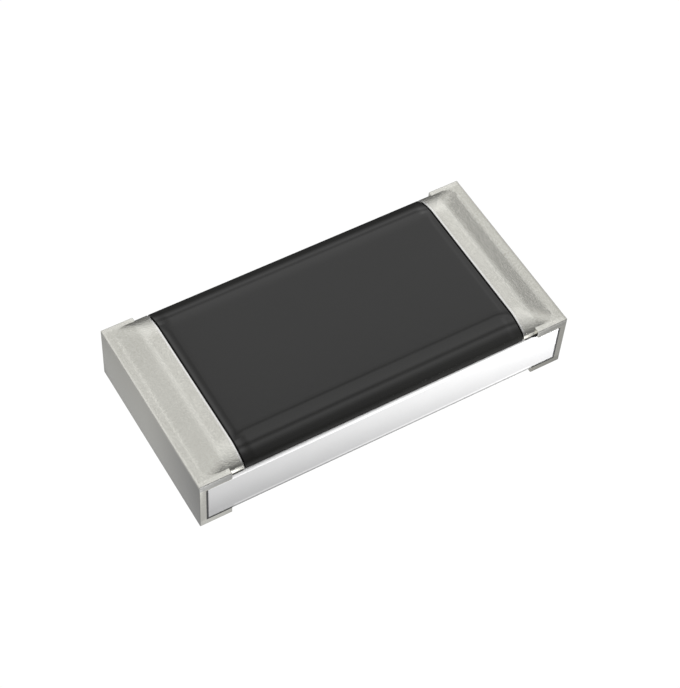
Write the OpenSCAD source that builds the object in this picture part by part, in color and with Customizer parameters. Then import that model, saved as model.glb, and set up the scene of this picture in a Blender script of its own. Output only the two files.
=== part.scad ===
// Thick-film chip resistor in the 3216 metric case, in millimetres.
// The origin is the middle of the footprint on the mounting plane, +X runs along the length, +Z is up.

/* [Case] */
// Length over both end caps
chip_l = 3.2; // [2.9:0.05:3.5]
// Width over the ceramic and the end caps
chip_w = 1.6; // [1.4:0.05:1.8]

/* [Ceramic plate] */
// Thickness of the alumina plate
ceramic_t = 0.41; // [0.3:0.01:0.6]
// Radius on the plate's long and upright edges
ceramic_r = 0.025; // [0.01:0.005:0.05]

/* [End caps] */
// Length of the cap's square limb on the top face
cap_top_l = 0.27; // [0.2:0.01:0.34]
// Length of the solder limb on the bottom face
cap_bottom_l = 0.27; // [0.2:0.01:0.6]
// Radius on the edges of the cap's end face
cap_r = 0.012; // [0.004:0.002:0.015]
// Thickness of the electrodes printed on the ceramic
pad_t = 0.006; // [0.004:0.001:0.02]
// Thickness of the electrode that wraps round the end
edge_t = 0.028; // [0.01:0.002:0.04]
// Thickness of the nickel barrier
nickel_t = 0.01; // [0.004:0.001:0.015]
// Thickness of the tin plating
tin_t = 0.016; // [0.005:0.001:0.025]

/* [Overcoat] */
// Length of tin that shows on top, from the end of the chip to the overcoat
tin_show = 0.38; // [0.35:0.01:0.5]
// Bare strip of ceramic beside the overcoat
coat_margin = 0.025; // [0.01:0.005:0.06]
// Height of the overcoat above the ceramic
coat_h = 0.12; // [0.1:0.005:0.16]
// Radius of the long shoulders, where the level top rolls off to the sides
shoulder_r = 0.45; // [0.4:0.01:0.8]
// Radius where the shoulders turn down to the ceramic
rim_r = 0.068; // [0.06:0.002:0.08]
// Fall from the level top to the dome's ends, in degrees
end_fall = 2; // [1:0.5:4]
// Length of tin that goes on level from the overcoat before the dome slopes down
tin_level = 0.128; // [0.08:0.004:0.18]
// Slope of the dome's ends, in degrees
end_slope = 17; // [12:1:30]

/* [Resistive element] */
// Distance from the overcoat's end to the glass undercoat
undercoat_end = 0.07; // [0.04:0.01:0.15]
// Distance from the overcoat's side to the glass undercoat
undercoat_side = 0.25; // [0.2:0.01:0.3]
// Thickness of the glass undercoat over the film
undercoat_t = 0.015; // [0.008:0.001:0.025]
// Margin of glass undercoat round the resistive film
film_margin = 0.07; // [0.04:0.01:0.12]
// Thickness of the resistive film over the electrodes
film_t = 0.012; // [0.006:0.001:0.02]
// Length of film that laps onto each electrode
film_lap = 0.13; // [0.08:0.01:0.2]
// Place of the laser trim cut along the film, from its middle
trim_x = 0.2; // [-0.4:0.05:0.4]
// Depth of the trim cut into the film
trim_depth = 0.42; // [0.2:0.02:0.6]
// Length of the trim cut's turn along the film
trim_run = 0.36; // [0.1:0.02:0.5]
// Width of the trim cut
trim_kerf = 0.03; // [0.02:0.005:0.05]

/* [Hidden] */
$fn = 48;

// Plating and wrap-around electrode together, and the ceramic inside them
skin_t = edge_t + nickel_t + tin_t;
plated_t = nickel_t + tin_t;
ceramic_l = chip_l - 2 * skin_t;
ceramic_z = skin_t + pad_t;
ceramic_top = ceramic_z + ceramic_t;
flange_top = ceramic_top + pad_t + skin_t;
solder_pad_w = chip_w - 2 * skin_t;
solder_pad_x = chip_l / 2 - cap_bottom_l + skin_t;

// Layers under the overcoat, each set in from the one above
coat_l = chip_l - 2 * tin_show;
coat_w = chip_w - 2 * coat_margin;
coat_top = ceramic_top + coat_h;
top_pad_w = coat_w - 2 * skin_t;
undercoat_l = coat_l - 2 * undercoat_end;
undercoat_w = coat_w - 2 * undercoat_side;
film_l = undercoat_l - 2 * film_margin;
film_w = undercoat_w - 2 * film_margin;
film_top = ceramic_top + pad_t + film_t;
undercoat_top = film_top + undercoat_t;
electrode_gap = film_l - 2 * film_lap;

// Corners of the dome: level over the undercoat, easing off beyond its edge
level_end = [undercoat_l / 2, coat_top];
break_run = coat_l / 2 + tin_level - undercoat_l / 2;
break_end = level_end + break_run * [1, -tan(end_fall)];
foot_end = break_end + (break_end.y - ceramic_top) * [1 / tan(end_slope), -1];

// Middles of the dome's two long curves, which meet without an edge at the angle rim_a from upright
shoulder_mid = [undercoat_w / 2, coat_top - shoulder_r];
rim_a = asin((undercoat_side - rim_r) / (shoulder_r - rim_r));
rim_mid = shoulder_mid + (shoulder_r - rim_r) * [sin(rim_a), cos(rim_a)];

// A corner of an outline, where the outline falls at angle a before it and b after it,
// moved inwards by the same distance from both sides
function inset(corner, a, b, d) =
    corner - d * [sin(a) + sin(b), cos(a) + cos(b)] / (1 + cos(a - b));

// One half of an outline joined to its mirror image
function both_halves(half) =
    concat(half, [for (k = [len(half) - 1:-1:0]) [-half[k].x, half[k].y]]);

// Carries an outline drawn in length and height through the width
module across_width(w) {
    rotate([90, 0, 0])
        linear_extrude(w, center = true)
            children();
}

// Carries an outline drawn in width and height along the length
module along_length(l) {
    rotate([90, 0, 90])
        linear_extrude(l, center = true)
            children();
}

// A block of given length and width, centred on the chip, between two heights
module layer(l, w, z0, z1) {
    translate([-l / 2, -w / 2, z0])
        cube([l, w, z1 - z0]);
}

// A block across the chip between two places along the length and two heights
module end_block(x0, x1, w, z0, z1) {
    translate([x0, -w / 2, z0])
        cube([x1 - x0, w, z1 - z0]);
}

module rounded_rectangle(a, b, r) {
    square([a, b - 2 * r], center = true);
    square([a - 2 * r, b], center = true);
    for (sx = [-1, 1], sy = [-1, 1])
        translate([sx * (a / 2 - r), sy * (b / 2 - r)])
            circle(r);
}

// Outline of the dome seen from the side, set in by d
module dome_side_outline(d) {
    half = [
        inset(level_end, 0, end_fall, d),
        inset(break_end, end_fall, end_slope, d),
        inset(foot_end, end_slope, end_slope, d)
    ];
    polygon(both_halves(half));
}

// What the rounded rim takes off one side of the dome, set in by d
module rim_waste(d) {
    translate(rim_mid)
        difference() {
            polygon(2 * rim_r * [[0, 0], [sin(rim_a), cos(rim_a)], [1, cos(rim_a)], [1, 0]]);
            circle(rim_r - d);
        }
}

// Outline of the dome seen from the end, set in by d: a level top, broad shoulders and rounded rims
module dome_end_outline(d) {
    difference() {
        intersection() {
            union() {
                translate([-shoulder_mid.x, shoulder_mid.y])
                    square([2 * shoulder_mid.x, shoulder_r - d]);
                for (side = [-1, 1])
                    translate([side * shoulder_mid.x, shoulder_mid.y])
                        circle(shoulder_r - d);
            }
            translate([d - coat_w / 2, shoulder_mid.y])
                square([coat_w - 2 * d, shoulder_r]);
        }
        rim_waste(d);
        mirror([1, 0])
            rim_waste(d);
    }
}

// The dome over the ceramic, set in by d from its outer face
module dome(d) {
    intersection() {
        across_width(chip_w)
            dome_side_outline(d);
        along_length(chip_l)
            dome_end_outline(d);
    }
}

// Outline of the square cap round the end, set in by d
module cap_outline(d) {
    difference() {
        union() {
            translate([chip_l / 2 - cap_top_l + d, ceramic_z])
                square([cap_top_l - 2 * d, flange_top - d - ceramic_z]);
            translate([chip_l / 2 - cap_bottom_l + d, d])
                square([cap_bottom_l - 2 * d, ceramic_top - d]);
        }
        translate([0, ceramic_z])
            square([ceramic_l / 2, ceramic_t]);
    }
}

// What rounding takes off a square corner at the origin
module corner_waste(r) {
    translate([-r, -r])
        difference() {
            square(r);
            circle(r);
        }
}

// Rounding waste at the two outer corners of the cap, between a low and a high side
module corner_pair(low, high) {
    translate([chip_l / 2, high])
        corner_waste(cap_r);
    translate([chip_l / 2, low])
        rotate(-90)
            corner_waste(cap_r);
}

// What rounding takes off the four edges of the cap's end face
module end_edge_waste() {
    across_width(chip_w)
        corner_pair(0, flange_top);
    linear_extrude(flange_top)
        corner_pair(-chip_w / 2, chip_w / 2);
}

// Everything metal at the right-hand end above the printed electrodes, set in by d
module cap(d) {
    across_width(chip_w - 2 * d)
        cap_outline(d);
    intersection() {
        dome(d);
        end_block(coat_l / 2, chip_l / 2 - d, chip_w, ceramic_top, coat_top);
    }
}

// Puts a piece drawn for the right-hand end at the left-hand one
module left_end() {
    mirror([1, 0, 0])
        children();
}

module ceramic_substrate() {
    color("whitesmoke")
        intersection() {
            translate([0, 0, ceramic_z])
                linear_extrude(ceramic_t)
                    rounded_rectangle(ceramic_l, chip_w, ceramic_r);
            translate([0, 0, ceramic_z + ceramic_t / 2])
                along_length(ceramic_l)
                    rounded_rectangle(chip_w, ceramic_t, ceramic_r);
        }
}

// The thin print on the ceramic that the film laps
module top_pad() {
    end_block(electrode_gap / 2, ceramic_l / 2, top_pad_w, ceramic_top, ceramic_top + pad_t);
}

module both_top_pads() {
    top_pad();
    left_end()
        top_pad();
}

// The thin print, built up under the dome where the cap is plated
module top_electrode() {
    color("gainsboro") {
        top_pad();
        intersection() {
            dome(skin_t);
            end_block(coat_l / 2, ceramic_l / 2, top_pad_w, ceramic_top, coat_top);
        }
    }
}

module bottom_electrode() {
    color("gainsboro")
        end_block(solder_pad_x, ceramic_l / 2, solder_pad_w, ceramic_z - pad_t, ceramic_z);
}

// L-shaped laser cut from one edge of the film
module trim_cut() {
    start_y = -film_w / 2 - film_margin / 2;
    turn_y = -film_w / 2 + trim_depth;
    translate([trim_x - trim_kerf / 2, start_y, ceramic_top])
        cube([trim_kerf, turn_y - start_y, undercoat_top - ceramic_top]);
    translate([trim_x - trim_kerf / 2, turn_y - trim_kerf, ceramic_top])
        cube([trim_run, trim_kerf, undercoat_top - ceramic_top]);
}

module resistive_film() {
    color("dimgray")
        difference() {
            layer(film_l, film_w, ceramic_top, film_top);
            both_top_pads();
            trim_cut();
        }
}

module glass_undercoat() {
    color("seagreen")
        difference() {
            layer(undercoat_l, undercoat_w, ceramic_top, undercoat_top);
            layer(film_l, film_w, ceramic_top, film_top);
            both_top_pads();
            trim_cut();
        }
}

// The domed coat, which also fills the trim cut
module overcoat() {
    color([0.17, 0.17, 0.17])
        difference() {
            intersection() {
                dome(0);
                layer(coat_l, chip_w, ceramic_top, coat_top);
            }
            both_top_pads();
            difference() {
                layer(undercoat_l, undercoat_w, ceramic_top, undercoat_top);
                trim_cut();
            }
        }
}

module edge_electrode() {
    color("silver")
        difference() {
            cap(plated_t);
            top_electrode();
            bottom_electrode();
        }
}

module nickel_barrier() {
    color("darkgray")
        difference() {
            cap(tin_t);
            cap(plated_t);
        }
}

module tin_plating() {
    color([0.78, 0.78, 0.75])
        difference() {
            cap(0);
            cap(tin_t);
            end_edge_waste();
        }
}

ceramic_substrate();
left_end() top_electrode();  // top_electrode_left
top_electrode();  // top_electrode_right
left_end() bottom_electrode();  // bottom_electrode_left
bottom_electrode();  // bottom_electrode_right
resistive_film();
glass_undercoat();
overcoat();
left_end() edge_electrode();  // edge_electrode_left
edge_electrode();  // edge_electrode_right
left_end() nickel_barrier();  // nickel_barrier_left
nickel_barrier();  // nickel_barrier_right
left_end() tin_plating();  // tin_plating_left
tin_plating();  // tin_plating_right
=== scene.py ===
import math
import bpy
import bmesh
from mathutils import Matrix, Vector


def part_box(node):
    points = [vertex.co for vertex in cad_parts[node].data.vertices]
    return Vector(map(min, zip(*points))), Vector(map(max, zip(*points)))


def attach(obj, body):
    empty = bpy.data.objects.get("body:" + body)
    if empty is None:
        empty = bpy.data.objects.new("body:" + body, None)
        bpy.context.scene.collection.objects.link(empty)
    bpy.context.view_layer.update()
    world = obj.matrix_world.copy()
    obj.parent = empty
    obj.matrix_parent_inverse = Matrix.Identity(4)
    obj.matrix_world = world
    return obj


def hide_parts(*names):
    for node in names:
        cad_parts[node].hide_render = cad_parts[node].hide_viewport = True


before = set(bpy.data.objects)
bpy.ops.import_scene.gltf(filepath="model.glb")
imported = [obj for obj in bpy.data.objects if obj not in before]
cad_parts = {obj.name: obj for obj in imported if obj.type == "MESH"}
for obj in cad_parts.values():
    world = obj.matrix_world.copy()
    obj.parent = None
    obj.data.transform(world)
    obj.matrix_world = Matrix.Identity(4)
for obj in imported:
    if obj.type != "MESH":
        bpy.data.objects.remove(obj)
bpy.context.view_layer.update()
mm = 0.001  # pieces are modelled in millimetres and brought to metres at the end
print("frame loaded with", len(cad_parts), "nodes")


# Camera
view = {
    "turn": -33.845,  # degrees round the chip
    "height": 53.634,  # degrees above the horizon
    "roll": 4.389,
    "distance": 15.188,
    "aside": (0.0538, 0.1673),  # where the lens stands off the line to the chip's middle
    "lens": 101.19,
    "clip": (0.5, 1000),  # nearest and farthest that it sees
}


def setCamera():
    bpy.ops.object.camera_add()
    camera = bpy.context.object
    camera.name = "camera"
    camera.data.lens = view["lens"]
    camera.data.clip_start = view["clip"][0] * mm
    camera.data.clip_end = view["clip"][1] * mm
    stand = Matrix.Rotation(math.radians(view["turn"]), 4, "Z")
    tilt = Matrix.Rotation(math.radians(90 - view["height"]), 4, "X")
    roll = Matrix.Rotation(math.radians(view["roll"]), 4, "Z")
    back = Matrix.Translation(Vector((*view["aside"], view["distance"])) * mm)
    camera.matrix_world = stand @ tilt @ roll @ back
    bpy.context.scene.camera = camera


setCamera()
print("camera set")


# Handling a mesh
closeBy = 0.0005  # places nearer than this count as one, in millimetres
weldWithin = 0.0001
longRun = 0.1  # an edge that runs further than this isn't a facet's
flatWithin = 0.001  # radians


def clearSelection():
    if bpy.context.mode != "OBJECT":
        bpy.ops.object.mode_set(mode="OBJECT")
    bpy.ops.object.select_all(action="DESELECT")


def takeUp(piece):  # the one piece that the next operators act on
    clearSelection()
    piece.select_set(True)
    bpy.context.view_layer.objects.active = piece


def openMesh(piece):
    takeUp(piece)
    bpy.ops.object.mode_set(mode="EDIT")
    bpy.ops.mesh.select_mode(type="VERT")
    bpy.ops.mesh.select_all(action="SELECT")


def closeMesh():
    bpy.ops.object.mode_set(mode="OBJECT")


def pick(piece, kind, test):  # the test is given an element's corner points
    bpy.ops.mesh.select_mode(type=kind)
    bpy.ops.mesh.select_all(action="DESELECT")
    mesh = bmesh.from_edit_mesh(piece.data)
    parts = {"VERT": mesh.verts, "EDGE": mesh.edges, "FACE": mesh.faces}[kind]
    for part in parts:
        points = [part.co] if kind == "VERT" else [corner.co for corner in part.verts]
        if test(points):
            part.select_set(True)
    mesh.select_flush_mode()
    bmesh.update_edit_mesh(piece.data)


def near(points, axis, *places):  # true where every point lies at one of the places along an axis
    return all(min(abs(point[axis] - place) for place in places) < closeBy for point in points)


def addBlock(name, low, high):
    clearSelection()
    low, high = Vector(low), Vector(high)
    bpy.ops.mesh.primitive_cube_add(size=1, location=(low + high) / 2, scale=high - low)
    block = bpy.context.object
    block.name = name
    bpy.ops.object.transform_apply(location=True, rotation=True, scale=True)
    return block


def cutPlane(point, normal, drop=None):  # drop is OUTER, which the normal points to, or INNER
    bpy.ops.mesh.select_all(action="SELECT")
    bpy.ops.mesh.bisect(
        plane_co=point, plane_no=normal, use_fill=drop is not None,
        clear_outer=drop == "OUTER", clear_inner=drop == "INNER")


def soften(piece, test, width, segments):
    pick(piece, "EDGE", test)
    bpy.ops.mesh.bevel(
        offset=width, segments=segments, profile=0.5, affect="EDGES", clamp_overlap=False)


def combine(piece, tool, operation):
    takeUp(piece)
    step = piece.modifiers.new(operation.lower(), "BOOLEAN")
    step.operation = operation
    step.object = tool
    step.solver = "EXACT"
    bpy.ops.object.modifier_apply(modifier=step.name)
    bpy.data.objects.remove(tool, do_unlink=True)


def finishMesh(piece, sharpAngle):
    openMesh(piece)
    bpy.ops.mesh.remove_doubles(threshold=weldWithin)
    bpy.ops.mesh.normals_make_consistent(inside=False)
    closeMesh()
    piece.scale = (mm, mm, mm)
    bpy.ops.object.transform_apply(location=True, rotation=True, scale=True)
    bpy.ops.object.shade_smooth_by_angle(angle=math.radians(sharpAngle))
    weighted = piece.modifiers.new("weightedNormals", "WEIGHTED_NORMAL")
    weighted.keep_sharp = True
    bpy.ops.object.modifier_apply(modifier=weighted.name)


def standFor(piece, node):
    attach(piece, "root")
    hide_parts(node)
    print(piece.name, "stands for", node, "with", len(piece.data.polygons), "faces")


# Sizes from the frame, in millimetres
def cornersOf(node):
    low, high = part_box(node)
    return low / mm, high / mm


plateLow, plateHigh = cornersOf("ceramic_substrate")
coatLow, coatHigh = cornersOf("overcoat")
capLow, capHigh = cornersOf("tin_plating_right")
glassLow, glassHigh = cornersOf("glass_undercoat")
padLow, padHigh = cornersOf("top_electrode_right")
coatEnd, capEnd = coatHigh.x, capHigh.x
coatFoot, coatTop = coatLow.z, coatHigh.z


# Shape of the dome that the coat and the two caps share
dome = {
    "shoulder": 0.45,  # radius that rolls off to the long sides
    "rim": 0.068,  # radius that turns down to the ceramic
    "endFall": 2,  # degrees
    "levelEnd": 1.15,  # where the top begins to fall along the length
    "breakEnd": 1.348,  # where the caps slope down
    "endSlope": 17,
    "turnStep": 2.5,  # degrees for each facet of a curve
    "back": 0.012,  # how much further out it reaches at the back than in front
}


def fallOf(degrees, run):
    return run * math.tan(math.radians(degrees))


def onCurve(middle, radius, degrees):  # a place on a curve, at an angle from upright
    angle = math.radians(degrees)
    return middle[0] + radius * math.sin(angle), middle[1] + radius * math.cos(angle)


def opposite(place):
    return -place[0], place[1]


def drawOutline(name, x, start, steps):  # each step is a line to a place or a turn round it
    clearSelection()
    dot = 0.01  # drawn together into one point below
    bpy.ops.mesh.primitive_plane_add(size=dot, location=(x, *start))
    outline = bpy.context.object
    outline.name = name
    bpy.ops.object.transform_apply(location=True, rotation=True, scale=True)
    openMesh(outline)
    bpy.ops.mesh.merge(type="CENTER")
    for place, turn in steps:
        here = next(v.co for v in bmesh.from_edit_mesh(outline.data).verts if v.select)
        if turn:
            bpy.ops.mesh.spin(
                steps=math.ceil(turn / dome["turnStep"]), angle=math.radians(turn),
                center=(x, *place), axis=(1, 0, 0))
        else:
            move = (0, place[0] - here.y, place[1] - here.z)
            bpy.ops.mesh.extrude_region_move(TRANSFORM_OT_translate={"value": move})
    bpy.ops.mesh.select_all(action="SELECT")
    bpy.ops.mesh.edge_face_add()
    return outline


# middles of the shoulder and rim curves, and the angle at which one passes into the other
shoulder = (glassHigh.y, coatTop - dome["shoulder"])
rimTurn = math.degrees(math.asin(
    (coatHigh.y - glassHigh.y - dome["rim"]) / (dome["shoulder"] - dome["rim"])))
rim = onCurve(shoulder, dome["shoulder"] - dome["rim"], rimTurn)


def extrudeBar(length):
    bpy.ops.mesh.extrude_region_move(TRANSFORM_OT_translate={"value": (length, 0, 0)})
    bpy.ops.mesh.select_all(action="SELECT")
    bpy.ops.mesh.normals_make_consistent(inside=False)


def domeBar(name, ends, inset=0):
    side = rim[0] + dome["rim"] - inset
    bar = drawOutline(name, ends[0], (-side, coatFoot), [
        ((-side, rim[1]), None),
        (opposite(rim), 90 - rimTurn),
        (opposite(shoulder), rimTurn),
        ((shoulder[0], coatTop - inset), None),
        (shoulder, rimTurn),
        (rim, 90 - rimTurn),
        ((side, coatFoot), None),
    ])
    extrudeBar(ends[1] - ends[0])
    return bar


def shoulderBar(name, ends, turn, inset):  # the same without rims, its shoulders turned further
    start = onCurve(shoulder, dome["shoulder"] - inset, turn)
    bar = drawOutline(name, ends[0], opposite(start), [
        (opposite(shoulder), turn),
        ((shoulder[0], coatTop - inset), None),
        (shoulder, turn),
    ])
    extrudeBar(ends[1] - ends[0])
    return bar


def widenBack(bar):
    share = 1 + dome["back"] / (coatHigh.y - shoulder[0])
    pick(bar, "VERT", lambda points: points[0].y > shoulder[0])
    bpy.ops.transform.resize(
        value=(1, share, 1), center_override=(0, shoulder[0], 0), orient_type="GLOBAL")


# Ceramic plate
ceramic = {
    "top": 0.02,  # radius of the long upper edges
    "foot": 0.005,  # and of the long lower ones
    "segments": 6,
    "sharp": 20,  # degrees from which an edge stays sharp
}


def plateBlock(name, ends):
    block = addBlock(name, (ends[0], *plateLow.yz), (ends[1], *plateHigh.yz))

    def longEdge(points):
        return near(points, 1, plateLow.y, plateHigh.y) and abs(points[0].x - points[1].x) > longRun

    openMesh(block)
    for z, radius in ((plateHigh.z, ceramic["top"]), (plateLow.z, ceramic["foot"])):
        soften(
            block, lambda points: longEdge(points) and near(points, 2, z), radius, ceramic["segments"])
    closeMesh()
    return block


def makePlate():
    plate = plateBlock("ceramicPlate", (plateLow.x, plateHigh.x))
    finishMesh(plate, ceramic["sharp"])
    standFor(plate, "ceramic_substrate")
    return plate


# Black coat
coat = {
    "slot": 0.012,  # gap to each end cap
    "slotDepth": 0.03,
    "lip": 0.004,  # radius at the two ends
    "lipCuts": 3,
    "endRolls": [1, 2.2, 3.6, 5.2, 7, 8.5],  # degrees of the facets that roll off to each end
    "endRadius": 0.49,
    "trimX": 0.2,  # middle of the cut across the film
    "trimStart": -0.49,  # where it starts, across the width
    "trimTurn": 0.035,  # where it turns along the film
    "trimRun": 0.36,  # length of it from there
    "kerf": 0.03,  # width of it
    "pad": 0.006,  # thickness of the electrode print under it
    "deep": 0.05,  # how far the cutting blocks reach past the coat
    "rows": (-1.1, -0.8, -0.4, 0, 0.4, 0.8, 1.1),  # where its long facets are parted
    "lanes": (-0.5, -0.25, 0, 0.25, 0.5),  # and the ones across its ends
    "sharp": 25,  # degrees from which an edge stays sharp
}


def makeCoat():
    reach = coatEnd - coat["slot"]
    body = domeBar("blackCoat", (-reach, reach))
    rollStart = reach - onCurve((0, 0), coat["endRadius"], coat["endRolls"][-1])[0]
    for end in (-1, 1):
        middle = Vector((end * rollStart, 0, coatTop - coat["endRadius"]))
        for degrees in coat["endRolls"]:
            x, z = onCurve((0, 0), 1, end * degrees)
            away = Vector((x, 0, z))
            cutPlane(middle + coat["endRadius"] * away, away, "OUTER")

    def lipEdge(points):
        end = near(points, 0, -reach) or near(points, 0, reach)
        return end and not near(points, 2, coatFoot)

    soften(body, lipEdge, coat["lip"], coat["lipCuts"])
    widenBack(body)
    closeMesh()
    core = domeBar("coatCore", (-coatEnd, coatEnd), coat["slotDepth"])
    widenBack(core)
    closeMesh()
    combine(body, core, "UNION")
    combine(body, makePocket(), "DIFFERENCE")
    for side in (-1, 1):
        ends = sorted((side * padLow.x, side * (coatEnd + coat["deep"])))
        pad = addBlock(
            "pad",
            (ends[0], padLow.y, coatFoot - coat["deep"]),
            (ends[1], padHigh.y, coatFoot + coat["pad"]))
        combine(body, pad, "DIFFERENCE")
    openMesh(body)
    for x in coat["rows"]:
        cutPlane((x, 0, 0), (1, 0, 0))
    for y in coat["lanes"]:
        cutPlane((0, y, 0), (0, 1, 0))
    finishMesh(body, coat["sharp"])
    standFor(body, "overcoat")
    return body


def makePocket():  # room for the glass and the film, less the trim cut that the coat fills
    deep = coat["deep"]
    half = coat["kerf"] / 2
    pocket = addBlock("pocket", glassLow - Vector((0, 0, deep)), glassHigh)
    across = addBlock(
        "trimAcross",
        (coat["trimX"] - half, coat["trimStart"], glassLow.z - 2 * deep),
        (coat["trimX"] + half, coat["trimTurn"], glassHigh.z + deep))
    along = addBlock(
        "trimAlong",
        (coat["trimX"] - half, coat["trimTurn"] - coat["kerf"], glassLow.z - 2 * deep),
        (coat["trimX"] - half + coat["trimRun"], coat["trimTurn"], glassHigh.z + deep))
    combine(across, along, "UNION")
    combine(pocket, across, "DIFFERENCE")
    return pocket


# Tin end caps
tin = {
    "limb": 0.27,  # length of the square limbs above and below the ceramic
    "flange": 0.53,  # height of the square part
    "skin": 0.016,  # thickness of the plating
    "lap": 0.015,  # how far the plating comes down over the ceramic's rounded edge
    "clear": 0.002,  # how far the core reaches out of the open sides
    "edge": 0.007,  # radius of the square part's outer edges
    "edgeCuts": 5,
    "lip": 0.003,  # radius along the coat
    "lipCuts": 4,
    "rimCuts": 14,  # facets of the rim that turns down to the ceramic
    "break": 0.055,  # how far the rounding reaches from the line where the cap slopes down
    "breakCuts": 7,
    "hip": 0.065,  # how far it reaches from the foot of the hips
    "hipCuts": 8,
    "hipStart": 0.11,  # how far out on the shoulder the hips get their full rounding
    "foot": 0.03,  # how far it reaches where the slope runs out on the square part
    "footCuts": 4,
    "footEnd": 0.62,  # where that rounding ends, across the width
    "domeTurn": 60,  # degrees that the shoulders turn before the rim is cut
    "domeRun": (0.2, 0.5),  # how far the dome runs on to each side before its ends are cut
    "domeEnd": 0.04,  # how far inside the cap's end it is cut off
    "sharp": 12,  # degrees from which an edge stays sharp
}


def capBlock(name, inset, clear, lap=0):  # the square part, an end plate with two limbs
    low, high = plateLow.z + clear, plateHigh.z - clear - lap
    inner = plateHigh.x - clear
    block = addBlock(
        name,
        (inner, capLow.y + inset, capLow.z + inset),
        (capEnd - inset, capHigh.y - inset, tin["flange"] - inset))

    def limbRoot(points):  # the inner faces above and below the plate
        return near(points, 0, inner) and not near(points, 2, low, high)

    openMesh(block)
    cutPlane((0, 0, low), (0, 0, 1))
    cutPlane((0, 0, high), (0, 0, 1))
    pick(block, "FACE", limbRoot)
    reach = inner - (capEnd - tin["limb"] + inset)
    bpy.ops.mesh.extrude_region_move(TRANSFORM_OT_translate={"value": (-reach, 0, 0)})
    bpy.ops.mesh.select_all(action="SELECT")
    bpy.ops.mesh.dissolve_limited(angle_limit=flatWithin)
    return block


breakPoint = Vector((
    dome["breakEnd"], 0, coatTop - fallOf(dome["endFall"], dome["breakEnd"] - dome["levelEnd"])))
footPoint = dome["breakEnd"] + (breakPoint.z - tin["flange"]) / fallOf(dome["endSlope"], 1)


def roundHips(bar, onHip):  # more and more from the break to the foot
    closeMesh()
    share = bar.data.attributes.new("bevel_weight_edge", "FLOAT", "EDGE")
    for edge in bar.data.edges:
        points = [bar.data.vertices[corner].co for corner in edge.vertices]
        if onHip(points):
            out = abs(points[0].y + points[1].y) / 2 - glassHigh.y
            share.data[edge.index].value = min(1, out / tin["hipStart"])
    step = bar.modifiers.new("hips", "BEVEL")
    step.limit_method = "WEIGHT"
    step.width = tin["hip"]
    step.segments = tin["hipCuts"]
    step.use_clamp_overlap = False
    bpy.ops.object.modifier_apply(modifier=step.name)
    openMesh(bar)


def capDome(name, inset):
    fall, slope = dome["endFall"], dome["endSlope"]
    half = math.radians(slope - fall) / 2
    radius = tin["break"] / math.tan(half)

    def cutEnd(degrees):  # along a plane that touches the rounding
        x, z = onCurve((0, 0), 1, degrees)
        away = Vector((x, 0, z))
        turn = math.radians(degrees - fall) - half
        depth = inset + radius * (math.cos(turn) / math.cos(half) - 1)
        cutPlane(breakPoint - depth * away, away, "OUTER")
        return away

    before, past = tin["domeRun"]
    bar = shoulderBar(name, (dome["levelEnd"] - before, capEnd + past), tin["domeTurn"], inset)
    away = cutEnd(slope)

    def onHip(points):
        flush = all(abs((point - breakPoint).dot(away) + inset) < closeBy for point in points)
        facet = abs(points[0].y - points[1].y) < longRun
        return flush and facet and not near(points, 2, coatTop - inset)

    def lipEdge(points):
        return near(points, 0, coatEnd) and not near(points, 2, coatFoot)

    roundHips(bar, onHip)
    for step in range(tin["breakCuts"] + 1):
        cutEnd(fall + (slope - fall) * step / (tin["breakCuts"] + 1))
    for step in range(1, tin["rimCuts"] + 1):
        y, z = onCurve((0, 0), 1, rimTurn + (90 - rimTurn) * step / tin["rimCuts"])
        for side in (-1, 1):
            outward = Vector((0, side * y, z))
            middle = Vector((0, side * rim[0], rim[1]))
            cutPlane(middle + (dome["rim"] - inset) * outward, outward, "OUTER")
    cutPlane((0, 0, coatFoot), (0, 0, -1), "OUTER")
    cutPlane((capEnd - tin["domeEnd"], 0, 0), (1, 0, 0), "OUTER")
    if not inset:
        cutPlane((coatEnd, 0, 0), (1, 0, 0), "INNER")
        soften(bar, lipEdge, tin["lip"], tin["lipCuts"])
    widenBack(bar)
    closeMesh()
    return bar


def makeCapRight():
    cap = capBlock("tinCapRight", 0, 0, tin["lap"])

    def outerEdge(points):
        top = near(points, 2, tin["flange"]) or near(points, 2, capLow.z)
        end = near(points, 0, capEnd) or near(points, 0, capEnd - tin["limb"])
        return (top or end) and not near(points, 2, plateLow.z, plateHigh.z - tin["lap"])

    def footEdge(points):
        return near(points, 0, footPoint) and near(points, 2, tin["flange"]) and all(
            abs(point.y) < tin["footEnd"] + closeBy for point in points)

    soften(cap, outerEdge, tin["edge"], tin["edgeCuts"])
    closeMesh()
    combine(cap, capDome("capDome", 0), "UNION")
    openMesh(cap)
    for y in (-tin["footEnd"], tin["footEnd"]):
        cutPlane((0, y, 0), (0, 1, 0))
    soften(cap, footEdge, tin["foot"], tin["footCuts"])
    closeMesh()
    core = capBlock("capCore", tin["skin"], tin["clear"])
    closeMesh()
    combine(core, capDome("capDomeCore", tin["skin"]), "UNION")
    combine(cap, core, "DIFFERENCE")
    combine(cap, plateBlock("capSeat", (coatEnd, plateHigh.x)), "DIFFERENCE")
    return cap


def mirrorCap(cap):
    takeUp(cap)
    bpy.ops.object.duplicate()
    twin = bpy.context.object
    twin.name = "tinCapLeft"
    twin.data.name = "tinCapLeft"
    bpy.ops.transform.mirror(constraint_axis=(True, False, False), orient_type="GLOBAL")
    bpy.ops.object.transform_apply(location=True, rotation=True, scale=True)
    return twin


ceramicPlate = makePlate()
blackCoat = makeCoat()
tinCapRight = makeCapRight()
tinCapLeft = mirrorCap(tinCapRight)
for tinCap, node in ((tinCapRight, "tin_plating_right"), (tinCapLeft, "tin_plating_left")):
    finishMesh(tinCap, tin["sharp"])
    standFor(tinCap, node)


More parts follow.
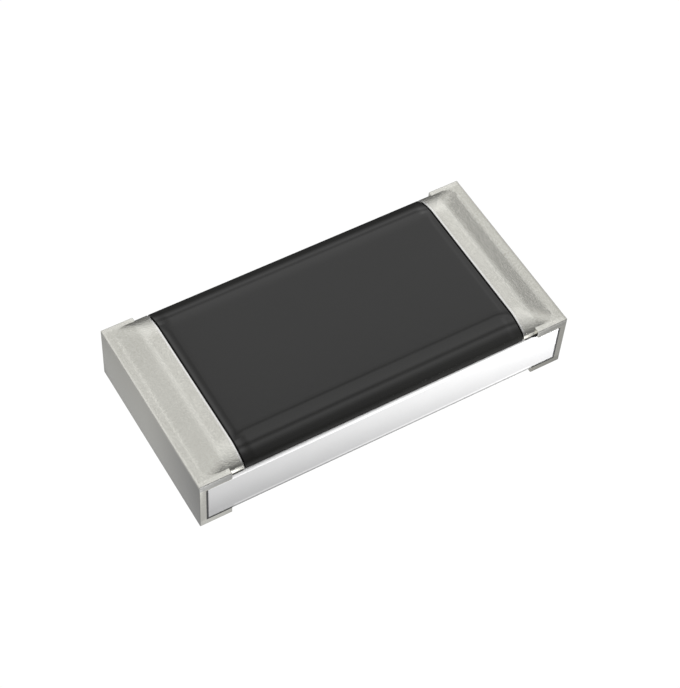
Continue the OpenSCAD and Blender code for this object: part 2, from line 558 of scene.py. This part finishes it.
# Shader maths
class Shade:  # a socket that arithmetic can be done on
    def __init__(self, tree, socket=None):
        self.tree = tree
        self.socket = socket

    def node(self, kind, settings, values, out=0):
        made = self.tree.nodes.new(kind)
        for name, value in settings.items():
            if name == "stops":
                fillRamp(made.color_ramp, value)
            else:
                setattr(made, name, value)
        for name, value in values.items():
            if isinstance(value, Shade):
                self.tree.links.new(value.socket, made.inputs[name])
            else:
                made.inputs[name].default_value = value
        return Shade(self.tree, made.outputs[out]) if made.outputs else None

    def math(self, operation, *values):
        return self.node("ShaderNodeMath", {"operation": operation}, dict(enumerate(values)))

    def __add__(self, other):
        return self.math("ADD", self, other)

    def __radd__(self, other):
        return self.math("ADD", other, self)

    def __sub__(self, other):
        return self.math("SUBTRACT", self, other)

    def __rsub__(self, other):
        return self.math("SUBTRACT", other, self)

    def __mul__(self, other):
        return self.math("MULTIPLY", self, other)

    def __rmul__(self, other):
        return self.math("MULTIPLY", other, self)

    def __truediv__(self, other):
        return self.math("DIVIDE", self, other)

    def __abs__(self):
        return self.math("ABSOLUTE", self)


def fillRamp(ramp, stops):
    while len(ramp.elements) < len(stops):
        ramp.elements.new(1)
    for element, (place, tone) in zip(ramp.elements, stops):
        element.position = place
        element.color = (tone, tone, tone, 1)


def startFinish(name):
    finish = bpy.data.materials.new(name)
    finish.use_nodes = True
    finish.node_tree.nodes.clear()
    return finish, Shade(finish.node_tree)


def place(shade):
    return shade.node("ShaderNodeTexCoord", {}, {}, "Object")


def axes(shade, point):  # the three parts of a place, in millimetres
    scaled = shade.node("ShaderNodeVectorMath", {"operation": "SCALE"}, {0: point, "Scale": 1 / mm})
    return [shade.node("ShaderNodeSeparateXYZ", {}, {0: scaled}, axis) for axis in "XYZ"]


def noise(shade, point, size, detail, roughness=0.5):  # size is that of its patches in millimetres
    return shade.node(
        "ShaderNodeTexNoise", {},
        {"Vector": point, "Scale": 1 / (size * mm), "Detail": detail, "Roughness": roughness})


def ease(shade, value, start, end):  # 0 before start and 1 after end
    return shade.node(
        "ShaderNodeMapRange", {"interpolation_type": "SMOOTHSTEP"},
        {"Value": value, "From Min": start, "From Max": end})


def fade(shade, value, start, end):  # 1 before start and 0 after end
    return 1 - ease(shade, value, start, end)


def level(pattern):  # a noise moved so that it lies round 0
    return pattern - 0.5


def blend(shade, factor, first, second):
    return shade.node(
        "ShaderNodeMix", {"data_type": "RGBA"}, {0: factor, 6: first, 7: second}, 2)


def bump(shade, height, strength, distance):
    return shade.node(
        "ShaderNodeBump", {}, {"Strength": strength, "Distance": distance * mm, "Height": height})


def endFinish(shade, values):
    surface = shade.node("ShaderNodeBsdfPrincipled", {}, values)
    shade.node("ShaderNodeOutputMaterial", {}, {"Surface": surface})


# Matt tin, with places in millimetres
mattTin = {
    "dull": (0.62, 0.611, 0.558, 1),
    "pale": (0.9, 0.893, 0.832, 1),
    "paintedHighlight": (0.98, 0.976, 0.955, 1),  # painted highlight on the edge along the coat
    "shaded": (0.62, 0.62, 0.603, 1),  # the sides of the upper limbs
    "paintedEndShade": (0.43, 0.43, 0.413, 1),  # painted shade on the ends, darker towards the front
    "roughness": 0.16,
    "roughSpots": (0.12, 0.08),  # change by the clouds and by the grain
    "matt": 0.07,  # share of the top that only scatters light
    "grain": (0.012, 4, 0.6),  # size, detail and roughness
    "mottle": (0.03, 3, 0.55),
    "cloud": (0.13, 3, 0.6),
    "spots": (0.3, 0.2, 1.5),  # contrast of the clouds, the mottle and the grain
    "sideSpots": 0.35,  # share of it off the top
    "slopeSpots": 0.28,  # the right slope has more of it and the left one less
    "heights": (2, 0.5),  # of the grain and the mottle
    "sideHeights": 0.3,  # share of them off the top
    "bump": (0.4, 0.003),  # strength and distance
    "topZ": (0.5, 0.525),  # the upper side begins between these, and so on for the zones below
    "crownY": (0.5, 0.6),  # the shoulders
    "rollY": (0.685, 0.725),
    "rollLoss": 0.7,  # share of their tone that is lost where they roll off
    "crownX": (1.33, 1.37),
    "backY": (0.1, 0.5),
    "slopeX": (1.35, 1.38),  # the sloped part
    "slopeEndX": (1.49, 1.525),
    "squareX": (1.53, 1.545),  # the level part beyond it
    "ridgeX": (1.318, 1.332),  # the line where the slope begins
    "ridgeEndX": (1.34, 1.375),
    "footX": 1.526,  # the line where it ends
    "footReach": (0, 0.016),
    "footY": (0.6, 0.68),
    "edgeY": (0.752, 0.765),  # the outer edges
    "edgeX": (1.576, 1.588),
    "coatHighlightX": (1.228, 1.242),  # the painted highlight along the coat
    "wallX": (1.325, 1.332),  # the inner ends of the limbs
    "wallZ": (0.5, 0.515),
    "highLimbY": (0.792, 0.798),  # the sides of the limbs
    "highLimbZ": (plateHigh.z - 0.004, plateHigh.z + 0.002),
    "limbShade": (0.75, -0.16),  # share of shade in the middle, and its change to the right
    "lowLimbY": (0.79, 0.798),
    "lowLimbZ": (0.05, 0.075),
    "endX": (capEnd - 0.006, capEnd - 0.002),  # the end faces, where the shade is painted
    "endY": (0.15, -0.85),
    "tones": {  # painted highlight that makes a zone paler, or painted shade that makes it duller with a minus
        "plain": 0.5,
        "crown": 0.42,
        "back": -0.1,
        "slope": -0.05,
        "square": -0.14,
        "ridge": 0.26,
        "edge": 0.35,
        "rightEdge": -0.7,
    },
    "sidedTones": {  # the same painted highlight and shade for each millimetre to the right, and the opposite to the left
        "square": -0.04,
        "foot": -0.1,
        "lowLimb": -0.8,
        "wall": -0.25,
    },
}


def makeTin():
    look = mattTin
    finish, shade = startFinish("mattTin")
    point = place(shade)
    x, y, z = axes(shade, point)
    out, wide = abs(x), abs(y)
    grain = noise(shade, point, *look["grain"])
    mottle = noise(shade, point, *look["mottle"])
    cloud = noise(shade, point, *look["cloud"])
    onTop = ease(shade, z, *look["topZ"])

    def mostlyOnTop(share):  # 1 on top and the share elsewhere
        return share + (1 - share) * onTop

    rolled = 1 - look["rollLoss"] * ease(shade, wide, *look["rollY"])
    crown = ease(shade, wide, *look["crownY"]) * rolled * fade(shade, out, *look["crownX"]) * onTop
    back = ease(shade, y, *look["backY"])
    slope = ease(shade, out, *look["slopeX"]) * fade(shade, out, *look["slopeEndX"]) * onTop
    square = ease(shade, out, *look["squareX"]) * onTop
    ridge = ease(shade, out, *look["ridgeX"]) * fade(shade, out, *look["ridgeEndX"]) * (1 - crown)
    foot = fade(shade, abs(out - look["footX"]), *look["footReach"]) * fade(shade, wide, *look["footY"])
    edge = shade.math("MAXIMUM", ease(shade, wide, *look["edgeY"]), ease(shade, 0 - x, *look["edgeX"]))
    rightEdge = ease(shade, x, *look["edgeX"])
    # painted highlight along the coat
    coatHighlight = fade(shade, out, *look["coatHighlightX"]) * onTop
    wall = fade(shade, out, *look["wallX"]) * fade(shade, z, *look["wallZ"])
    highLimb = ease(shade, wide, *look["highLimbY"]) * ease(shade, z, *look["highLimbZ"])
    lowLimb = ease(shade, wide, *look["lowLimbY"]) * fade(shade, z, *look["lowLimbZ"])
    # painted shade on the end faces, darker towards the front
    ended = ease(shade, out, *look["endX"]) * ease(shade, y, *look["endY"]) * (1 - onTop)

    # painted highlights and painted shade by zone, line and limb
    tones, sided = look["tones"], look["sidedTones"]
    zones = tones["crown"] * crown + (tones["back"] * back + tones["slope"] * slope) * (1 - crown)
    zones = zones + (tones["square"] + sided["square"] * x) * square
    lines = tones["ridge"] * ridge + tones["edge"] * edge + tones["rightEdge"] * rightEdge
    lines = (lines + sided["foot"] * x * foot) * onTop
    limbs = x * (sided["lowLimb"] * lowLimb + sided["wall"] * wall)
    cloudy, mottled, grainy = look["spots"]
    spots = cloudy * level(cloud) + mottled * level(mottle) + grainy * level(grain)
    spots = mostlyOnTop(look["sideSpots"]) * (1 + look["slopeSpots"] * x * slope) * spots
    tone = tones["plain"] + zones + lines + limbs + spots

    plain = blend(shade, tone, look["dull"], look["pale"])
    lit = blend(shade, coatHighlight, blend(shade, ended, plain, look["paintedEndShade"]), look["paintedHighlight"])
    share, change = look["limbShade"]
    shaded = highLimb * (share + change * x)
    roughCloud, roughGrain = look["roughSpots"]
    grainHeight, mottleHeight = look["heights"]
    relief = mostlyOnTop(look["sideHeights"]) * (grainHeight * grain + mottleHeight * mottle)
    endFinish(shade, {
        "Base Color": blend(shade, shaded, lit, look["shaded"]),
        "Metallic": 1 - look["matt"] * onTop,
        "Roughness": look["roughness"] + roughCloud * level(cloud) + roughGrain * level(grain),
        "Normal": bump(shade, relief, *look["bump"]),
    })
    return finish


# Black glaze
blackGlaze = {
    "deep": (0.0112, 0.0112, 0.0106, 1),
    "worn": (0.0157, 0.0157, 0.0148, 1),
    "roughness": 0.11,
    "roughSpots": (0.05, 0.04),  # change by the clouds and by the specks
    "ior": 1.57,
    "cloud": (0.5, 3, 0.6),  # size, detail and roughness
    "peel": (0.09, 2),
    "speck": (0.012, 2),
    "speckHeight": 0.2,
    "bump": (0.06, 0.004),  # strength and distance
    "skirt": (0.756, 0.764),  # the dull foot of the sides begins between these
    "skirtRoughness": 0.45,
    "skirtSpots": 0.1,
    "skirtIor": 1.24,
}


def makeGlaze():
    look = blackGlaze
    finish, shade = startFinish("blackGlaze")
    point = place(shade)
    wide = abs(axes(shade, point)[1])
    cloud = noise(shade, point, *look["cloud"])
    peel = noise(shade, point, *look["peel"])
    speck = noise(shade, point, *look["speck"])
    skirt = ease(shade, wide, *look["skirt"])
    tone = blend(shade, cloud, look["deep"], look["worn"])
    relief = bump(shade, peel + look["speckHeight"] * speck, *look["bump"])
    cloudy, specked = look["roughSpots"]
    gloss = shade.node("ShaderNodeBsdfPrincipled", {}, {
        "Base Color": tone,
        "Roughness": look["roughness"] + cloudy * level(cloud) + specked * level(speck),
        "IOR": look["ior"],
        "Normal": relief,
    })
    dull = shade.node("ShaderNodeBsdfPrincipled", {}, {
        "Base Color": tone,
        "Roughness": look["skirtRoughness"] + look["skirtSpots"] * level(speck),
        "IOR": look["skirtIor"],
        "Normal": relief,
    })
    surface = shade.node("ShaderNodeMixShader", {}, {0: skirt, 1: gloss, 2: dull})
    shade.node("ShaderNodeOutputMaterial", {}, {"Surface": surface})
    return finish


# Fired alumina, with places in millimetres
alumina = {
    "bright": (0.61, 0.61, 0.612, 1),
    "grey": (0.435, 0.435, 0.438, 1),
    "crest": (0.98, 0.98, 0.98, 1),  # painted highlight on the rounded upper edge
    "footShade": (0.25, 0.25, 0.25, 1),  # painted shade on the lower edge
    # painted shadow in the gaps beside the caps
    "gapShadow": (0.03, 0.03, 0.03, 1),
    "roughness": 0.5,
    "roughGrain": 0.15,
    "polish": 0.3,  # how much smoother the upper edge is
    "grain": (0.012, 4, 0.65),  # size, detail and roughness
    "cloud": (0.2, 3),
    "bump": (0.15, 0.003),  # strength and distance
    "riseZ": (plateLow.z - 0.05, plateHigh.z),  # painted light: it brightens from grey upwards
    "riseCloud": 0.06,  # how far the clouds move that
    "riseRight": (0.17, 0.05),  # painted light, more for each millimetre to the right of a place
    "crestZ": (plateHigh.z - 0.024, plateHigh.z - 0.012),
    "footGrain": 0.006,  # how far the grain moves the lines along the foot
    "footShadeZ": (plateLow.z + 0.014, plateLow.z + 0.026),
    "paleLine": 0.3,  # share of the upper edge's colour in a pale line above the darker foot
    "paleLineZ": (plateLow.z + 0.022, plateLow.z + 0.028),
    "paleLineEndZ": (plateLow.z + 0.034, plateLow.z + 0.05),
    "paleLineEndX": (1.3, 1.33),
    "gapShadowX": (1.526, 1.532),  # the painted shadow along the end plates
    "lowGapShadowX": (1.326, 1.33),  # the one along the lower limbs
    "lowGapShadowZ": (plateLow.z + 0.016, plateLow.z + 0.024),
    "domeGapShadowX": (1.222, 1.23),  # the one along the foot of the caps' dome
    "domeGapShadowY": (coatHigh.y + 0.008, coatHigh.y + 0.002),
    "domeGapShadowZ": (plateHigh.z - 0.004, plateHigh.z - 0.002),
    "flare": 0.012,  # how much wider it grows on the right
    "flareX": (1.28, 1.325),
}


def makeAlumina():
    look = alumina
    finish, shade = startFinish("firedAlumina")
    point = place(shade)
    x, y, z = axes(shade, point)
    out = abs(x)
    grain = noise(shade, point, *look["grain"])
    cloud = noise(shade, point, *look["cloud"])
    # painted light: brighter upwards and to the right
    rise = ease(shade, z + look["riseCloud"] * level(cloud), *look["riseZ"])
    change, start = look["riseRight"]
    risen = blend(shade, rise + change * (x - start) * (1 - rise), look["grey"], look["bright"])
    # painted highlight on the rounded upper edge
    crest = ease(shade, z, *look["crestZ"])
    low = z + look["footGrain"] * level(grain)
    # painted shade on the lower edge
    footShade = fade(shade, low, *look["footShadeZ"])
    paleLine = ease(shade, low, *look["paleLineZ"]) * fade(shade, low, *look["paleLineEndZ"])
    paleLine = look["paleLine"] * paleLine * fade(shade, out, *look["paleLineEndX"])
    body = blend(shade, paleLine, risen, look["crest"])
    edged = blend(shade, footShade, blend(shade, crest, body, look["crest"]), look["footShade"])
    # painted shadow in the gaps along the end plates, the lower limbs and the foot of the caps' dome
    gapShadow = ease(shade, out, *look["gapShadowX"])
    lowGapShadow = ease(shade, out, *look["lowGapShadowX"]) * fade(shade, low, *look["lowGapShadowZ"])
    wide = abs(y) - look["flare"] * ease(shade, x, *look["flareX"])
    domeGapShadow = ease(shade, out, *look["domeGapShadowX"]) * ease(shade, z, *look["domeGapShadowZ"])
    domeGapShadow = domeGapShadow * ease(shade, wide, *look["domeGapShadowY"])
    gapShadow = shade.math("MAXIMUM", gapShadow, shade.math("MAXIMUM", lowGapShadow, domeGapShadow))
    endFinish(shade, {
        "Base Color": blend(shade, gapShadow, edged, look["gapShadow"]),
        "Roughness": look["roughness"] + look["roughGrain"] * level(grain) - look["polish"] * crest,
        "Normal": bump(shade, grain, *look["bump"]),
    })
    return finish


# Layers under the coat and the plating
layerFinishes = {
    "nickel": {
        "low": (0.5, 0.48, 0.44, 1), "high": (0.62, 0.6, 0.56, 1),
        "metal": 1.0, "rough": 0.32, "patch": 0.03},
    "printed_electrode": {
        "low": (0.6, 0.59, 0.56, 1), "high": (0.8, 0.79, 0.77, 1),
        "metal": 1.0, "rough": 0.5, "patch": 0.02},
    "edge_electrode": {
        "low": (0.55, 0.54, 0.52, 1), "high": (0.68, 0.67, 0.65, 1),
        "metal": 1.0, "rough": 0.4, "patch": 0.04},
    "resistive_cermet": {
        "low": (0.02, 0.02, 0.022, 1), "high": (0.05, 0.05, 0.052, 1),
        "metal": 0.0, "rough": 0.55, "patch": 0.015},
    "undercoat_glass": {
        "low": (0.03, 0.09, 0.06, 1), "high": (0.06, 0.14, 0.1, 1),
        "metal": 0.0, "rough": 0.15, "patch": 0.08},
}
layerNodes = {
    "nickel": ["nickel_barrier_left", "nickel_barrier_right"],
    "printed_electrode": [
        "top_electrode_left", "top_electrode_right", "bottom_electrode_left", "bottom_electrode_right"],
    "edge_electrode": ["edge_electrode_left", "edge_electrode_right"],
    "resistive_cermet": ["resistive_film"],
    "undercoat_glass": ["glass_undercoat"],
}
layerPattern = {
    "patch": (4, 0.6),  # detail and roughness
    "cloudSize": 8,  # in patches
    "cloud": 2,  # detail
    "shares": (0.6, 0.4),  # of the patches and the clouds in the colour
    "roughSpots": 0.15,
    "bump": (0.2, 0.002),  # strength and distance
}


def makeLayer(name, look):
    finish, shade = startFinish(name)
    point = place(shade)
    patch = noise(shade, point, look["patch"], *layerPattern["patch"])
    cloud = noise(shade, point, layerPattern["cloudSize"] * look["patch"], layerPattern["cloud"])
    patched, cloudy = layerPattern["shares"]
    endFinish(shade, {
        "Base Color": blend(shade, patched * patch + cloudy * cloud, look["low"], look["high"]),
        "Metallic": look["metal"],
        "Roughness": look["rough"] + layerPattern["roughSpots"] * level(patch),
        "Normal": bump(shade, patch, *layerPattern["bump"]),
    })
    return finish


def dress(piece, finish):
    piece.data.materials.clear()
    piece.data.materials.append(finish)


tinFinish = makeTin()
dress(tinCapLeft, tinFinish)
dress(tinCapRight, tinFinish)
dress(blackCoat, makeGlaze())
dress(ceramicPlate, makeAlumina())
for slot, nodes in layerNodes.items():
    layerFinish = makeLayer(slot, layerFinishes[slot])
    for node in nodes:
        dress(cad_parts[node], layerFinish)
print("finishes set")


# Studio
studio = {
    "sweep": 120,  # radius of the floor and height of the wall round it
    "sweepSides": 96,
    "white": 1.02,
    "tent": [  # degrees from the back horizon over the top to the front and under, with the light there
        (0, 0.09), (12, 0.15), (17, 0.42), (22, 0.78), (30, 0.9), (44, 0.9), (58, 0.83), (70, 0.83),
        (80, 0.87), (94, 0.98), (100, 0.93), (105, 0.58), (110, 0.31), (115, 0.24), (130, 0.19),
        (150, 0.1), (168, 0.09), (182, 0.15), (189, 0.65), (195, 1.9), (207, 2.6), (216, 2.1),
        (225, 1.2), (233, 0.52), (242, 0.45), (260, 0.35), (285, 0.31), (301, 0.35), (305, 0.35),
        (312, 0.24), (325, 0.09)],
    "gaps": [  # degrees, reach, depth or with a minus a brighter gap, and where to one side it sets in
        (63.3, 4.2, 0.52, (0.15, 0.24)), (93, 7, 0.62, None), (28.5, 6, 0.45, None),
        (208, 40, 0.94, (0.21, 0.42)), (208, 40, 0.7, (0, -0.4)), (135, 45, -0.15, (0.4, 0.45)),
        (33, 14, -0.25, (0.4, 0.46)), (12, 14, -0.35, (0.4, 0.46)), (17, 10, -0.25, (0.26, 0.2)),
        (120, 24, 0.35, (0.5, 0.6)), (336, 24, -2.2, (-0.42, -0.56))],
    "horizon": (-0.05, 0.1),  # what is overhead begins between these
    "strips": [  # overhead: place, reach, change, and the degrees between which it ends in front
        (0.195, 0.08, -0.35, None), (0.05, 0.09, 0.75, (98, 110)), (0.47, 0.05, 0.28, None)],
    "leftward": (0.28, 0.1, 0.81),  # further to the left it darkens to this share
    "flag": (0.64, 0.8, 0.36),  # further to the right it darkens to this share, behind
    "flagFront": (55, 85),  # degrees between which that ends
    "under": (0.2, 0.45, 1.25, 0.95),  # below the horizon it darkens to the right, by two shares
    "card": (0.62, 0.78, 1.0),  # a low card on the right
    "panels": {  # light the ceramic, and aren't mirrored
        "sidePanel": {
            "place": (2.6, -4.6, 1.0), "aim": (1.1, -0.8, 0.27), "size": 2.0, "power": 2.6e-4},
        "backPanel": {
            "place": (-2.6, 4.6, 1.0), "aim": (-0.4, 0.8, 0.27), "size": 2.0, "power": 1.6e-4},
    },
}


def makeSweep():
    clearSelection()
    bpy.ops.mesh.primitive_circle_add(
        vertices=studio["sweepSides"], radius=studio["sweep"] * mm, fill_type="NGON")
    sweep = bpy.context.object
    sweep.name = "studioSweep"
    openMesh(sweep)
    pick(sweep, "EDGE", lambda points: True)
    bpy.ops.mesh.extrude_region_move(TRANSFORM_OT_translate={"value": (0, 0, studio["sweep"] * mm)})
    closeMesh()
    sweep.visible_diffuse = False
    sweep.visible_glossy = False
    sweep.visible_shadow = False
    finish, shade = startFinish("paleSweep")
    light = shade.node("ShaderNodeEmission", {}, {"Color": (1, 1, 1, 1), "Strength": studio["white"]})
    shade.node("ShaderNodeOutputMaterial", {}, {"Surface": light})
    dress(sweep, finish)


def makeTent():
    world = bpy.data.worlds.new("lightTent")
    bpy.context.scene.world = world
    world.use_nodes = True
    world.node_tree.nodes.clear()
    shade = Shade(world.node_tree)
    way = shade.node("ShaderNodeTexCoord", {}, {}, "Generated")
    x, y, z = [shade.node("ShaderNodeSeparateXYZ", {}, {0: way}, axis) for axis in "XYZ"]
    turn = shade.math("FRACT", shade.math("ARCTAN2", z, y) / math.tau + 1)
    stops = [(degrees / 360, tone) for degrees, tone in studio["tent"]]
    stops.append((1, studio["tent"][0][1]))
    tone = shade.node("ShaderNodeValToRGB", {"stops": stops}, {0: turn})
    angle = 360 * turn
    for middle, reach, depth, side in studio["gaps"]:
        gap = depth * fade(shade, abs(angle - middle), 0, reach)
        tone = tone * (1 - (gap * ease(shade, x, *side) if side else gap))
    above = ease(shade, z, *studio["horizon"])
    overhead = above
    for middle, reach, change, front in studio["strips"]:
        strip = change * fade(shade, abs(x - middle), 0, reach)
        overhead = overhead * (1 + (strip * fade(shade, angle, *front) if front else strip))
    start, end, share = studio["leftward"]
    overhead = overhead * (1 - (1 - share) * ease(shade, x, start, end))
    start, end, share = studio["flag"]
    flag = 1 - (1 - share) * ease(shade, x, start, end) * fade(shade, angle, *studio["flagFront"])
    start, end, left, right = studio["under"]
    under = left + (right - left) * ease(shade, x, start, end)
    start, end, extra = studio["card"]
    card = extra * ease(shade, x, start, end)
    strength = overhead * flag + (1 - above) * (under + card)
    light = shade.node("ShaderNodeBackground", {}, {"Color": tone, "Strength": strength})
    shade.node("ShaderNodeOutputWorld", {}, {"Surface": light})


def makePanel(name, look):
    spot, aim = Vector(look["place"]) * mm, Vector(look["aim"]) * mm
    bpy.ops.object.light_add(type="AREA", location=spot)
    panel = bpy.context.object
    panel.name = name
    panel.rotation_euler = (aim - spot).to_track_quat("-Z", "Y").to_euler()
    panel.data.size = look["size"] * mm
    panel.data.energy = look["power"]
    panel.visible_glossy = False


makeSweep()
makeTent()
for panelName, panelLook in studio["panels"].items():
    makePanel(panelName, panelLook)
bpy.context.scene.view_settings.view_transform = "Standard"
print("studio set")
